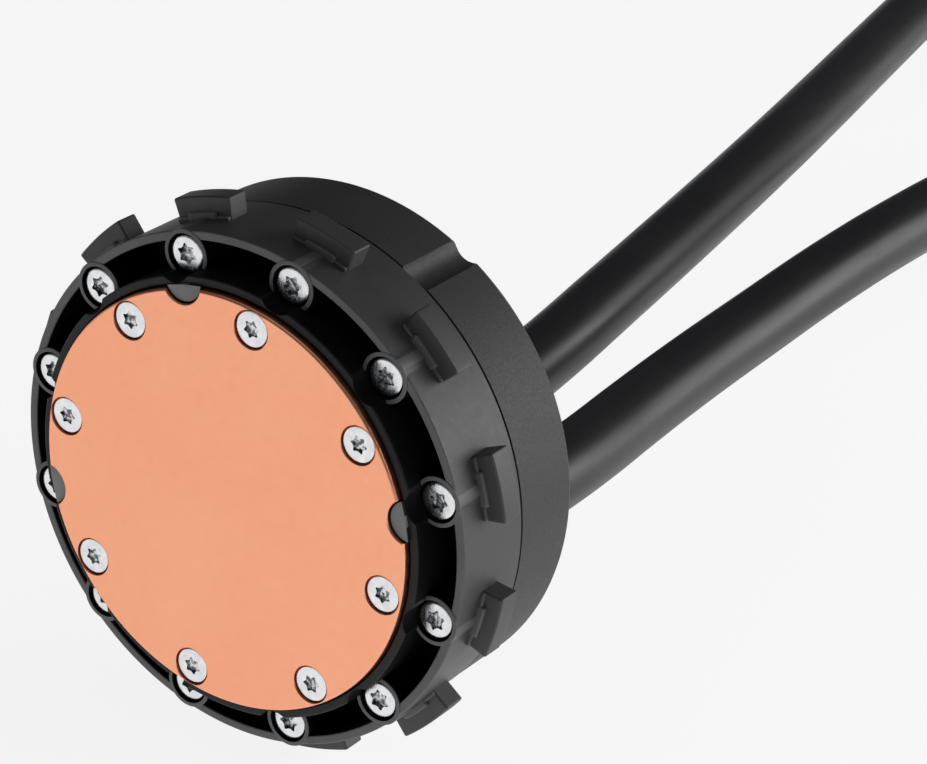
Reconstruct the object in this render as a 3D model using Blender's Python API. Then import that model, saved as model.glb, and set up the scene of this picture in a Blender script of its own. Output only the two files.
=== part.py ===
# Pump head of a closed liquid cooler: a round pump with a copper cold plate on its front
# and two coolant hoses leaving its back. Metres, +Z up. The centre of the cold plate's
# contact face is the origin, the plate faces -Y and the pump's body lies behind it in +Y.
# The head stands on two of the twelve lugs round its rim; the hose ends rest on the floor.
import math

import bmesh
import bpy
from mathutils import Vector

MM = 0.001

# Cold plate
PLATE_R = 30.5
PLATE_T = 3.0
PLATE_SCREW_CIRCLE = 27.5
PLATE_SCREW_START = 124.2      # degrees, eight screws 45 degrees apart
NOTCH_ANGLES = [102.0, 12.0, -168.0]
NOTCH_R = 3.2
NOTCH_CIRCLE = 31.5
PEG_FRONT = 0.5
FIN_COUNT, FIN_PITCH, FIN_T, FIN_H, FIN_LEN = 13, 1.8, 0.9, 2.8, 24.0

# Base housing
BASE_FRONT = 3.3
LAND_FRONT = 1.0
RECESS_R = 30.75
BASE_BACK = 17.5
RIM_FRONT = 4.0
BAND_R = 37.3
RIM_INNER_R = 36.0
LAND_R = 32.0
POCKET_FLOOR = 12.0
SCREW_CIRCLE = 33.98
SCREW_START = 135.0            # degrees, twelve flange screws 30 degrees apart
BOSS_R = 3.55
LUG_R = 40.5
LUG_HALF_ANGLE = 7.0
LUG_FRONT, LUG_BACK = 9.15, 12.8
PLATE_CHAMBER_R = 21.0
PLATE_CHAMBER_FLOOR = 7.0
PUMP_CHAMBER_R = 12.8
PUMP_CHAMBER_FLOOR = 9.2

# Motor, set to one side so that both hose ports fit beside it
MOTOR_X, MOTOR_Z = -13.0, 9.0
SHAFT_R = 1.5

# Pump lid and cover
LID_FRONT, LID_BACK, LID_R = 18.7, 20.7, 31.0
COVER_FRONT, COVER_BACK, COVER_R = 17.8, 30.0, 36.9
COVER_WALL = 1.6
INLET_ANGLE, INLET_Y = 215.0, 24.6   # cable inlet in the cover's side

# Hoses
HOSE_R = 5.4
HOSE_START = 24.0
FLOOR_Z = -LUG_R * math.cos(math.radians(15.0 - LUG_HALF_ANGLE))
LOWER_PORT = (27.6, -2.95)
UPPER_PORT = (4.6, -6.3)
FITTING_Z = FLOOR_Z + 7.7
LOWER_ROUTE = [(27.6, HOSE_START, -2.95), (27.6, 39, -2.95), (26.9, 51, -3.1), (25.9, 63, -3.1),
               (25.3, 78, -2.6), (25.3, 100, -1.6), (26.6, 122, 0.4), (27.9, 143, 1.4),
               (29.0, 163, 1.3), (29.0, 186, -1.2), (28.7, 212, -8.6), (27.9, 240, -18.7),
               (27.2, 266, -27.2), (27.0, 285, -31.3), (27.0, 302, FITTING_Z),
               (27.0, 330, FITTING_Z), (27.0, 365, FITTING_Z), (27.0, 400, FITTING_Z)]
UPPER_ROUTE = [(4.6, HOSE_START, -6.3), (4.6, 39, -6.2), (4.4, 56, -4.9), (4.2, 73, -3.1),
               (3.3, 92, -0.7), (0.6, 122, 1.9), (-3.2, 152, 3.6), (-8.7, 183, 4.0),
               (-14.5, 213.5, 4.2), (-19.0, 238, 4.3), (-22.0, 258, 4.2), (-22.5, 280, 0.5),
               (-23.0, 302, -8.3), (-23.6, 326, -19.9), (-23.6, 350, -29.3),
               (-23.6, 370, FITTING_Z), (-23.6, 384, FITTING_Z), (-23.6, 400, FITTING_Z)]


def polar(radius, degrees):
    a = math.radians(degrees)
    return radius * math.cos(a), radius * math.sin(a)


def material(name, color, rough, metal=0.0):
    mat = bpy.data.materials.new(name)
    mat.use_nodes = True
    shader = mat.node_tree.nodes["Principled BSDF"]
    shader.inputs["Base Color"].default_value = (*color, 1.0)
    shader.inputs["Roughness"].default_value = rough
    shader.inputs["Metallic"].default_value = metal
    mat.diffuse_color = (*color, 1.0)
    return mat


def add_object(name, mesh_bm, mat=None):
    bmesh.ops.remove_doubles(mesh_bm, verts=mesh_bm.verts, dist=1e-7)
    bmesh.ops.recalc_face_normals(mesh_bm, faces=mesh_bm.faces)
    mesh = bpy.data.meshes.new(name)
    mesh_bm.to_mesh(mesh)
    mesh_bm.free()
    obj = bpy.data.objects.new(name, mesh)
    bpy.context.scene.collection.objects.link(obj)
    if mat:
        mesh.materials.append(mat)
    return obj


def lathe_into(mesh_bm, profile, segments, centre=(0.0, 0.0), turn=0.0):
    """Turn a closed (radius, y) profile about the +Y line through centre (x, z), in mm."""
    rings = []
    for radius, y in profile:
        if radius < 1e-6:
            rings.append([mesh_bm.verts.new((centre[0] * MM, y * MM, centre[1] * MM))])
            continue
        ring = []
        for i in range(segments):
            x, z = polar(radius, turn + 360.0 * i / segments)
            ring.append(mesh_bm.verts.new(((centre[0] + x) * MM, y * MM, (centre[1] + z) * MM)))
        rings.append(ring)
    for k in range(len(rings)):
        a, b = rings[k], rings[(k + 1) % len(rings)]
        if len(a) == 1 and len(b) == 1:
            continue
        for i in range(segments):
            j = (i + 1) % segments
            corners = [a[i % len(a)], a[j % len(a)], b[j % len(b)], b[i % len(b)]]
            mesh_bm.faces.new(list(dict.fromkeys(corners)))


def prism_into(mesh_bm, outline, y0, y1):
    """Extrude a closed (x, z) outline in mm along Y."""
    front = [mesh_bm.verts.new((x * MM, y0 * MM, z * MM)) for x, z in outline]
    back = [mesh_bm.verts.new((x * MM, y1 * MM, z * MM)) for x, z in outline]
    mesh_bm.faces.new(front)
    mesh_bm.faces.new(list(reversed(back)))
    for i in range(len(outline)):
        j = (i + 1) % len(outline)
        mesh_bm.faces.new([front[i], back[i], back[j], front[j]])


def turned(name, profile, segments, mat, centre=(0.0, 0.0), turn=0.0):
    mesh_bm = bmesh.new()
    lathe_into(mesh_bm, profile, segments, centre, turn)
    return add_object(name, mesh_bm, mat)


def rod_into(mesh_bm, centre, radius, y0, y1, segments=16, turn=0.0):
    lathe_into(mesh_bm, [(0, y0), (radius, y0), (radius, y1), (0, y1)], segments, centre, turn)


def radial_rod(steps, degrees, y):
    """Turned shape on a line that leaves the head's axis at this angle; steps are
    (radius, distance from the head's axis)."""
    piece = bmesh.new()
    lathe_into(piece, steps, 14)
    out = Vector((math.cos(math.radians(degrees)), 0.0, math.sin(math.radians(degrees))))
    turn = Vector((0, 1, 0)).rotation_difference(out).to_matrix()
    for vert in piece.verts:
        vert.co = turn @ vert.co + Vector((0, y * MM, 0))
    return piece


def combine(target, operation, tool_bm):
    """Join tool_bm to the target, or cut it away, and keep only the result."""
    tool = add_object("tool", tool_bm)
    modifier = target.modifiers.new(operation.lower(), "BOOLEAN")
    modifier.operation = operation
    modifier.solver = "EXACT"
    modifier.object = tool
    evaluated = target.evaluated_get(bpy.context.evaluated_depsgraph_get())
    result = bpy.data.meshes.new_from_object(evaluated)
    target.modifiers.clear()
    result.name = target.name
    target.data = result
    bpy.data.objects.remove(tool)


def shade(obj, angle=35.0):
    obj.data.shade_smooth()
    obj.data.set_sharp_from_angle(angle=math.radians(angle))


def smooth_points(route, spacing):
    """Points at even spacing on a Catmull-Rom curve through the route, in mm."""
    pts = [Vector(p) for p in route]
    pts = [2 * pts[0] - pts[1]] + pts + [2 * pts[-1] - pts[-2]]
    fine = []
    for k in range(1, len(pts) - 2):
        p0, p1, p2, p3 = pts[k - 1:k + 3]
        knots = [0.0]
        for a, b in ((p0, p1), (p1, p2), (p2, p3)):
            knots.append(knots[-1] + (b - a).length ** 0.5)
        t0, t1, t2, t3 = knots
        for step in range(24):
            t = t1 + (t2 - t1) * step / 24
            a1 = p0 * ((t1 - t) / (t1 - t0)) + p1 * ((t - t0) / (t1 - t0))
            a2 = p1 * ((t2 - t) / (t2 - t1)) + p2 * ((t - t1) / (t2 - t1))
            a3 = p2 * ((t3 - t) / (t3 - t2)) + p3 * ((t - t2) / (t3 - t2))
            b1 = a1 * ((t2 - t) / (t2 - t0)) + a2 * ((t - t0) / (t2 - t0))
            b2 = a2 * ((t3 - t) / (t3 - t1)) + a3 * ((t - t1) / (t3 - t1))
            fine.append(b1 * ((t2 - t) / (t2 - t1)) + b2 * ((t - t1) / (t2 - t1)))
    fine.append(pts[-2])
    total = sum((b - a).length for a, b in zip(fine, fine[1:]))
    count = max(2, round(total / spacing))
    out, walked, target = [fine[0]], 0.0, total / count
    for a, b in zip(fine, fine[1:]):
        length = (b - a).length
        while walked + length >= target - 1e-9 and len(out) < count:
            out.append(a.lerp(b, (target - walked) / length))
            target += total / count
        walked += length
    out.append(fine[-1])
    return out


def tube(name, route, radius, mat):
    curve = bpy.data.curves.new(name, "CURVE")
    curve.dimensions = "3D"
    curve.bevel_depth = radius * MM
    curve.bevel_resolution = 3
    curve.use_fill_caps = True
    points = smooth_points(route, 22.0)
    spline = curve.splines.new("POLY")
    spline.points.add(len(points) - 1)
    for target, p in zip(spline.points, points):
        target.co = (p.x * MM, p.y * MM, p.z * MM, 1.0)
    spline.use_smooth = True
    curve.materials.append(mat)
    obj = bpy.data.objects.new(name, curve)
    bpy.context.scene.collection.objects.link(obj)
    return obj


for obj in list(bpy.data.objects):
    bpy.data.objects.remove(obj)

copper = material("copper", (0.86, 0.44, 0.29), 0.30, 1.0)
black = material("housing_plastic", (0.030, 0.031, 0.033), 0.45)
cover_mat = material("cover_plastic", (0.038, 0.039, 0.042), 0.60)
inner_plastic = material("inner_plastic", (0.10, 0.10, 0.11), 0.50)
screw_steel = material("screw_steel", (0.78, 0.79, 0.80), 0.25, 1.0)
seal = material("seal_rubber", (0.02, 0.02, 0.02), 0.80)
hose_mat = material("hose_rubber", (0.022, 0.022, 0.024), 0.42)
magnet_mat = material("magnet", (0.10, 0.10, 0.11), 0.55)
ceramic = material("ceramic", (0.88, 0.87, 0.83), 0.30)
steel = material("motor_steel", (0.35, 0.36, 0.38), 0.45, 1.0)
wire = material("winding_copper", (0.70, 0.32, 0.14), 0.35, 1.0)
board = material("circuit_board", (0.03, 0.14, 0.06), 0.50)
bright = material("fitting_metal", (0.72, 0.73, 0.75), 0.28, 1.0)

screw_angles = [SCREW_START - 30.0 * k for k in range(12)]
plate_screw_angles = [PLATE_SCREW_START - 45.0 * k for k in range(8)]
lid_screw_angles = [75.0, 195.0, 255.0, 315.0]
motor = (MOTOR_X, MOTOR_Z)

# Cold plate: a thick copper disc with three shallow edge notches, eight sunk screw
# seats and a block of thin fins on its wet side.
plate = turned("cold_plate", [(0, 0), (PLATE_R - 0.25, 0), (PLATE_R, 0.25), (PLATE_R, PLATE_T),
                              (0, PLATE_T)], 48, copper, turn=NOTCH_ANGLES[0])
comb = []
half = FIN_LEN / 2
for k in range(FIN_COUNT):
    left = (k - (FIN_COUNT - 1) / 2) * FIN_PITCH - FIN_T / 2
    comb += [(left, PLATE_T), (left, PLATE_T + FIN_H), (left + FIN_T, PLATE_T + FIN_H),
             (left + FIN_T, PLATE_T)]
comb += [(comb[-1][0], PLATE_T - 0.5), (comb[0][0], PLATE_T - 0.5)]
fins = bmesh.new()
sides = []
for z in (-half, half):
    sides.append([fins.verts.new((x * MM, y * MM, z * MM)) for x, y in comb])
    fins.faces.new(sides[-1])
for i in range(len(comb)):
    j = (i + 1) % len(comb)
    fins.faces.new([sides[0][i], sides[0][j], sides[1][j], sides[1][i]])
combine(plate, "UNION", fins)
cut = bmesh.new()
for a in NOTCH_ANGLES:
    rod_into(cut, polar(NOTCH_CIRCLE, a), NOTCH_R, -1, PLATE_T + 1, 14)
for a in plate_screw_angles:
    spot = polar(PLATE_SCREW_CIRCLE, a)
    lathe_into(cut, [(0, -1), (2.9, -1), (2.9, 1.6), (1.6, 1.6), (1.6, PLATE_T + 1),
                     (0, PLATE_T + 1)], 12, spot)
combine(plate, "DIFFERENCE", cut)
shade(plate)

# Round seal between the cold plate and the base housing.
seal_profile = [(23.2 + 0.75 * math.cos(math.radians(t)), 3.92 + 0.62 * math.sin(math.radians(t)))
                for t in range(0, 360, 60)]
shade(turned("plate_seal", seal_profile, 36, seal))

# Base housing: wet chambers, ring of pockets between twelve screw bosses, thin rim and lugs.
base = turned("base_housing", [
    (0, PLATE_CHAMBER_FLOOR), (PLATE_CHAMBER_R, PLATE_CHAMBER_FLOOR),
    (PLATE_CHAMBER_R, BASE_FRONT), (22.0, BASE_FRONT), (22.0, 4.8), (24.4, 4.8),
    (24.4, BASE_FRONT), (RECESS_R, BASE_FRONT), (RECESS_R, LAND_FRONT),
    (LAND_R - 0.3, LAND_FRONT), (LAND_R, LAND_FRONT + 0.3),
    (LAND_R, POCKET_FLOOR), (RIM_INNER_R, POCKET_FLOOR), (RIM_INNER_R, RIM_FRONT),
    (BAND_R - 0.2, RIM_FRONT), (BAND_R, RIM_FRONT + 0.2), (BAND_R, BASE_BACK),
    (0, BASE_BACK)], 52, black, turn=SCREW_START + 1.1)
bosses = bmesh.new()
for a in screw_angles:
    rod_into(bosses, polar(SCREW_CIRCLE, a), BOSS_R, RIM_FRONT, POCKET_FLOOR + 1, 16, a)
combine(base, "UNION", bosses)
extras = bmesh.new()
for a in screw_angles:
    outline = []
    steps = 3
    for i in range(steps + 1):
        t = a - LUG_HALF_ANGLE + 2 * LUG_HALF_ANGLE * i / steps
        outline.append(polar(LUG_R, t))
    for i in range(steps + 1):
        t = a + LUG_HALF_ANGLE - 2 * LUG_HALF_ANGLE * i / steps
        outline.append(polar(BAND_R - 0.8, t))
    prism_into(extras, outline, LUG_FRONT, LUG_BACK)
for a in NOTCH_ANGLES:
    cx, cz = polar(NOTCH_CIRCLE, a)
    outline = []
    for i in range(9):
        px, pz = polar(NOTCH_R - 0.25, a + 102.0 + 19.5 * i)
        outline.append((cx + px, cz + pz))
    prism_into(extras, outline, PEG_FRONT, BASE_FRONT + 0.6)
combine(base, "UNION", extras)
cut = bmesh.new()
for a in screw_angles:
    lathe_into(cut, [(0, 0), (3.0, 0), (3.0, 6.4), (1.75, 6.4), (1.75, 18), (0, 18)],
               12, polar(SCREW_CIRCLE, a), a)
for a in plate_screw_angles:
    rod_into(cut, polar(PLATE_SCREW_CIRCLE, a), 1.6, 2, 8.5, 8)
for a in lid_screw_angles:
    rod_into(cut, polar(28.5, a), 1.35, 13.0, 18, 8)
combine(base, "DIFFERENCE", cut)
cut = bmesh.new()
along = Vector((MOTOR_X - UPPER_PORT[0], MOTOR_Z - UPPER_PORT[1])).normalized()
side = Vector((-along.y, along.x)) * 1.7
near = Vector(UPPER_PORT)
far = near + along * 13.0
prism_into(cut, [tuple(near + side), tuple(far + side), tuple(far - side), tuple(near - side)],
           13.0, 18)
combine(base, "DIFFERENCE", cut)
cut = bmesh.new()
rod_into(cut, motor, PUMP_CHAMBER_R, PUMP_CHAMBER_FLOOR, 18, 32)
combine(base, "DIFFERENCE", cut)
cut = bmesh.new()
channel = []
for i in range(9):
    channel.append(tuple(LOWER_PORT[n] + polar(2.8, -90 + 22.5 * i)[n] for n in (0, 1)))
for i in range(9):
    channel.append(tuple((16.5, -2.9)[n] + polar(2.8, 90 + 22.5 * i)[n] for n in (0, 1)))
prism_into(cut, channel, 13.0, 18)
combine(base, "DIFFERENCE", cut)
cut = bmesh.new()
rod_into(cut, (16.5, -2.9), 2.6, 6, 14, 16)
rod_into(cut, (MOTOR_X - 4.0, MOTOR_Z - 9.0), 2.4, 6, 10, 16)
rod_into(cut, UPPER_PORT, 2.8, 12.0, 18, 16)
combine(base, "DIFFERENCE", cut)
shade(base)

# Screws: eight flat heads in the cold plate and twelve pan heads in the flange's bosses.
for number, a in enumerate(plate_screw_angles, 1):
    screw = turned("plate_screw_%d" % number, [
        (0, 0.95), (1.0, 0.95), (1.0, 0.15), (2.6, 0.15), (2.6, 1.3), (1.3, 1.3),
        (1.3, 8.0), (0, 8.2)], 12, screw_steel, polar(PLATE_SCREW_CIRCLE, a), a)
    shade(screw)
for number, a in enumerate(screw_angles, 1):
    screw = turned("flange_screw_%d" % number, [
        (0, 5.3), (1.15, 5.3), (1.15, 4.2), (2.2, 4.3), (2.65, 5.1), (2.65, 6.1),
        (1.5, 6.1), (1.5, 21.5), (0, 21.8)], 12, screw_steel, polar(SCREW_CIRCLE, a), a)
    shade(screw)

# Gasket and lid: they close the wet chambers; the lid's cup is the dry side's rotor can.
def lid_outline(radius, lobe):
    """Disc outline with a small lobe round the lower port."""
    points = []
    for i in range(60):
        t = 360.0 * i / 60
        ux, uz = polar(1.0, t)
        along_port = ux * LOWER_PORT[0] + uz * LOWER_PORT[1]
        off = LOWER_PORT[0] ** 2 + LOWER_PORT[1] ** 2 - along_port ** 2
        reach = radius
        if off < lobe * lobe and along_port > 0:
            reach = max(radius, along_port + math.sqrt(lobe * lobe - off))
        points.append((reach * ux, reach * uz))
    return points


sheet = bmesh.new()
prism_into(sheet, lid_outline(30.8, 4.3), 17.7, 18.4)
gasket = add_object("lid_gasket", sheet, seal)
cut = bmesh.new()
rod_into(cut, motor, PUMP_CHAMBER_R, 17, 19, 32)
rod_into(cut, LOWER_PORT, 2.9, 17, 19, 12)
rod_into(cut, UPPER_PORT, 2.9, 17, 19, 12)
for a in lid_screw_angles:
    rod_into(cut, polar(28.5, a), 1.5, 17, 19, 8)
combine(gasket, "DIFFERENCE", cut)

plate_bm = bmesh.new()
prism_into(plate_bm, lid_outline(LID_R, 4.4), LID_FRONT, LID_BACK)
lid = add_object("pump_lid", plate_bm, inner_plastic)
can = bmesh.new()
rod_into(can, motor, 9.2, LID_FRONT + 0.5, 28.1, 32)
rod_into(can, LOWER_PORT, 4.4, LID_FRONT + 0.5, 22.4, 16)
rod_into(can, UPPER_PORT, 5.2, LID_FRONT + 0.5, 22.4, 16)
combine(lid, "UNION", can)
cut = bmesh.new()
rod_into(cut, motor, 8.3, 18, 27.3, 32)
rod_into(cut, LOWER_PORT, 3.3, 18, 23, 12)
rod_into(cut, UPPER_PORT, 3.3, 18, 23, 12)
for a in lid_screw_angles:
    rod_into(cut, polar(28.5, a), 1.5, 18, 22, 8)
combine(lid, "DIFFERENCE", cut)
shade(lid)
for number, a in enumerate(lid_screw_angles, 1):
    shade(turned("lid_screw_%d" % number, [
        (0, 21.3), (0.9, 21.3), (0.9, 22.4), (2.1, 22.4), (2.3, 22.1), (2.3, 21.0), (1.15, 21.0),
        (1.15, 14.0), (0, 13.6)], 8, screw_steel, polar(28.5, a), a))

# Rotor: open impeller with a hub, ring magnet and bush, turning on a fixed ceramic shaft.
impeller = turned("impeller", [
    (3.2, 12.0), (5.0, 12.0), (5.0, 15.2), (12.2, 15.2), (12.2, 16.6), (5.2, 16.6), (5.2, 26.4),
    (3.2, 26.4)], 28, inner_plastic, motor)
blades = bmesh.new()
for k in range(7):
    outline = []
    for radius, sweep in ((4.4, 0), (6.5, 10), (9.0, 24), (11.9, 42)):
        outline.append((radius, sweep + 360.0 * k / 7))
    inner_side = [polar(r, t - 0.45 * 57.3 / r) for r, t in outline]
    outer_side = [polar(r, t + 0.45 * 57.3 / r) for r, t in reversed(outline)]
    ring = [(MOTOR_X + x, MOTOR_Z + z) for x, z in inner_side + outer_side]
    prism_into(blades, ring, 11.5, 15.8)
combine(impeller, "UNION", blades)
shade(impeller)
shade(turned("rotor_magnet", [(5.5, 17.4), (7.8, 17.4), (7.8, 26.2), (5.5, 26.2)], 28, magnet_mat,
             motor))
shade(turned("rotor_bush", [(1.8, 12.4), (2.9, 12.4), (2.9, 25.6), (1.8, 25.6)], 16, ceramic, motor))
shade(turned("shaft", [(0, 9.5), (SHAFT_R, 9.5), (SHAFT_R, 27.0), (0, 27.0)], 12, ceramic, motor))
shade(turned("thrust_washer", [(1.8, 26.6), (3.4, 26.6), (3.4, 27.0), (1.8, 27.0)], 16, ceramic,
             motor))

# Stator: a laminated ring with four teeth, a coil round each tooth, and the ring-shaped board.
core = turned("stator_core", [(13.4, 21.9), (15.2, 21.9), (15.2, 25.0), (13.4, 25.0)], 36, steel,
              motor)
teeth = bmesh.new()
for k in range(4):
    t = math.radians(45 + 90 * k)
    u = Vector((math.cos(t), math.sin(t)))
    v = Vector((-u.y, u.x)) * 1.6
    m = Vector(motor)
    ring = [m + u * 9.9 - v, m + u * 9.9 + v, m + u * 14.0 + v, m + u * 14.0 - v]
    prism_into(teeth, [tuple(p) for p in ring], 22.2, 24.7)
combine(core, "UNION", teeth)
shade(core)
for k in range(4):
    t = math.radians(45 + 90 * k)
    u = Vector((math.cos(t), math.sin(t)))
    v = Vector((-u.y, u.x))
    m = Vector(motor)
    coil_bm = bmesh.new()
    ring = [m + u * 10.2 - v * 3.0, m + u * 10.2 + v * 3.0, m + u * 12.6 + v * 3.0,
            m + u * 12.6 - v * 3.0]
    prism_into(coil_bm, [tuple(p) for p in ring], 20.95, 25.95)
    coil = add_object("coil_%d" % (k + 1), coil_bm, wire)
    cut = bmesh.new()
    ring = [m + u * 9.0 - v * 1.85, m + u * 9.0 + v * 1.85, m + u * 14.0 + v * 1.85,
            m + u * 14.0 - v * 1.85]
    prism_into(cut, [tuple(p) for p in ring], 21.9, 25.0)
    combine(coil, "DIFFERENCE", cut)
shade(turned("circuit_board", [(9.6, 26.6), (15.0, 26.6), (15.0, 27.8), (9.6, 27.8)], 32, board,
             motor))

# Cover: closed at the back, with twelve blind screw bosses, a hose hole over each port,
# a shallow round dent across its outer wall and a hole for the cable inlet.
cover = turned("cover", [
    (COVER_R - COVER_WALL, COVER_FRONT), (COVER_R, COVER_FRONT), (COVER_R, COVER_BACK - 0.9),
    (COVER_R - 0.25, COVER_BACK - 0.25), (COVER_R - 0.9, COVER_BACK), (0, COVER_BACK),
    (0, COVER_BACK - COVER_WALL), (COVER_R - COVER_WALL, COVER_BACK - COVER_WALL)],
    48, cover_mat, turn=SCREW_START)
combine(cover, "DIFFERENCE", radial_rod([(0, 33), (2.6, 33), (2.6, 40), (0, 40)],
                                         INLET_ANGLE, INLET_Y))
bosses = bmesh.new()
for a in screw_angles:
    rod_into(bosses, polar(SCREW_CIRCLE, a), 2.45, COVER_FRONT + 0.3, 22.7, 10, a)
combine(cover, "UNION", bosses)
collars = bmesh.new()
for port in (LOWER_PORT, UPPER_PORT):
    rod_into(collars, port, 6.9, 28.9, COVER_BACK + 0.8, 24)
combine(cover, "UNION", collars)
cut = bmesh.new()
for a in screw_angles:
    rod_into(cut, polar(SCREW_CIRCLE, a), 1.75, 17, 22.1, 10, a)
for port in (LOWER_PORT, UPPER_PORT):
    rod_into(cut, port, HOSE_R + 0.35, 27, 32, 24)
rod_into(cut, polar(COVER_R + 1.6, 59.5), 2.7, 17, 32, 20)
combine(cover, "DIFFERENCE", cut)
shade(cover)
shade(add_object("cable_inlet", radial_rod([
    (1.2, 33.6), (3.4, 33.6), (3.4, 34.8), (2.3, 34.8), (2.3, 37.2), (3.2, 37.2), (3.0, 38.9),
    (1.2, 38.9)], INLET_ANGLE, INLET_Y), seal))

# Hose connections: a barb screwed into each port of the lid, a crimped ferrule round the
# hose inside the cover, and the hose out through the cover's hole.
for name, port in (("lower", LOWER_PORT), ("upper", UPPER_PORT)):
    shade(turned("hose_barb_" + name, [
        (2.2, 19.0), (3.0, 19.0), (3.0, 22.7), (4.9, 22.7), (4.9, 23.7), (2.2, 23.7)], 16,
        bright, port))
    shade(turned("hose_ferrule_" + name, [
        (HOSE_R + 0.3, 24.2), (6.3, 24.2), (6.3, 28.0), (HOSE_R + 0.3, 28.0)], 20, bright, port))
for name, route in (("lower", LOWER_ROUTE), ("upper", UPPER_ROUTE)):
    tube("hose_" + name, route, HOSE_R, hose_mat)

    # End fitting: crimped sleeve, hexagon body with a round spigot, and the spigot's seal.
    end_x, end_y, end_z = route[-1]
    spot = (end_x, end_z)
    shade(turned("end_sleeve_" + name, [
        (HOSE_R + 0.3, end_y - 11.5), (6.5, end_y - 11.5), (6.7, end_y - 11.0),
        (6.7, end_y - 0.3), (HOSE_R + 0.3, end_y - 0.3)], 24, bright, spot))
    hexagon = 7.5 / math.cos(math.radians(30))
    body = turned("end_fitting_" + name, [
        (0, end_y + 0.3), (hexagon, end_y + 0.3), (hexagon, end_y + 5.3), (0, end_y + 5.3)], 6,
        bright, spot, 0.0)
    spigot = bmesh.new()
    lathe_into(spigot, [(0, end_y + 4.5), (6.3, end_y + 4.5), (6.3, end_y + 8.0),
                        (4.9, end_y + 8.0), (4.8, end_y + 10.2), (4.0, end_y + 10.2),
                        (4.0, end_y + 12.0), (4.8, end_y + 12.0), (4.8, end_y + 13.3),
                        (4.4, end_y + 13.8), (0, end_y + 13.8)], 20, spot)
    combine(body, "UNION", spigot)
    cut = bmesh.new()
    rod_into(cut, spot, 2.6, end_y - 1, end_y + 15, 12)
    combine(body, "DIFFERENCE", cut)
    shade(body)
    ring = [(4.95 + 0.7 * math.cos(math.radians(t)),
             end_y + 11.1 + 0.7 * math.sin(math.radians(t))) for t in range(0, 360, 60)]
    shade(turned("end_seal_" + name, ring, 24, seal, spot))
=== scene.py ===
# The looks of a pump head for a closed liquid cooler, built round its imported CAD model.
# Metres, +Z up. The copper plate faces -Y, and the hoses leave the back of the head in +Y.
import math

import bpy
from mathutils import Matrix, Vector


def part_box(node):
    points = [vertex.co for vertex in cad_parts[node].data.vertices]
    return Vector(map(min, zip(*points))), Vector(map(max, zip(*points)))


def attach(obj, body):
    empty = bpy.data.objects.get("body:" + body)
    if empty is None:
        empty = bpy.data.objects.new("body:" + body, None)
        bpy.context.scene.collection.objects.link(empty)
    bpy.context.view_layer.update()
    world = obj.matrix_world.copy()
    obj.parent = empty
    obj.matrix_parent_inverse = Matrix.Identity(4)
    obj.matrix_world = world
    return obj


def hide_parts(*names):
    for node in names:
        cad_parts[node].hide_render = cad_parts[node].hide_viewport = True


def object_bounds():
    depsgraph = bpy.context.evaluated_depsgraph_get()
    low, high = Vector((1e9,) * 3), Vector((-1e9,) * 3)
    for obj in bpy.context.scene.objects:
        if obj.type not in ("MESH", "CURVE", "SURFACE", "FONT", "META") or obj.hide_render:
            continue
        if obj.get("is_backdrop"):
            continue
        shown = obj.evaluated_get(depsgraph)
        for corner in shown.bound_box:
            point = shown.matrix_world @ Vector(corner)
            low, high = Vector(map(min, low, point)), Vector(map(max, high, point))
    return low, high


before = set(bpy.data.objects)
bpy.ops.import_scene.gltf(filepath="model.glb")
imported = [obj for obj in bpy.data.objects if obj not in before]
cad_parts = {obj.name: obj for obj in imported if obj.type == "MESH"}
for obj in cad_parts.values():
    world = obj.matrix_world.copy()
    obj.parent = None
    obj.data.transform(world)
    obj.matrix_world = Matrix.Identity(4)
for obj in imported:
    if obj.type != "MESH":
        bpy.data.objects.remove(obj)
cad_low, cad_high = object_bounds()
MM = 0.001

# ---------------------------------------------------------------------------------------
# Camera: a long lens, a little to the right of the copper plate and above it, with the
# head low on the left and both hoses running out of the picture at the upper right.
# ---------------------------------------------------------------------------------------
lens = bpy.data.cameras.new("camera")
lens.lens = 132.2
lens.sensor_width = 36.0
lens.clip_start, lens.clip_end = 0.01, 20.0
camera = bpy.data.objects.new("camera", lens)
camera.location = (0.25538, -0.32216, 0.20855)
camera.rotation_euler = (math.radians(65.185), math.radians(-1.588), math.radians(34.624))
bpy.context.scene.collection.objects.link(camera)
bpy.context.scene.camera = camera

# ---------------------------------------------------------------------------------------
# Floor and light: one pale sheet under the head that glows evenly, a wide soft light
# overhead, a smaller one behind the head at the right, and a dim cool room round them.
# ---------------------------------------------------------------------------------------
bpy.context.scene.view_settings.view_transform = "Standard"
bpy.context.scene.view_settings.look = "None"

bpy.ops.object.select_all(action="DESELECT")
bpy.ops.mesh.primitive_plane_add(size=14.0, location=(0.0, 0.0, cad_low.z))
floor = bpy.context.object
floor.name = "floor"
paper = bpy.data.materials.new("pale_paper")
paper.use_nodes = True
shader = paper.node_tree.nodes["Principled BSDF"]
shader.inputs["Base Color"].default_value = (0.22, 0.22, 0.22, 1.0)
shader.inputs["Roughness"].default_value = 0.9
shader.inputs["Specular IOR Level"].default_value = 0.1
shader.inputs["Emission Color"].default_value = (1.0, 1.0, 1.0, 1.0)
shader.inputs["Emission Strength"].default_value = 0.86
floor.data.materials.append(paper)
floor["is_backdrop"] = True

room = bpy.data.worlds.new("room")
room.use_nodes = True
room.node_tree.nodes["Background"].inputs["Color"].default_value = (0.90, 0.93, 1.0, 1.0)
room.node_tree.nodes["Background"].inputs["Strength"].default_value = 0.09
bpy.context.scene.world = room


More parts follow.
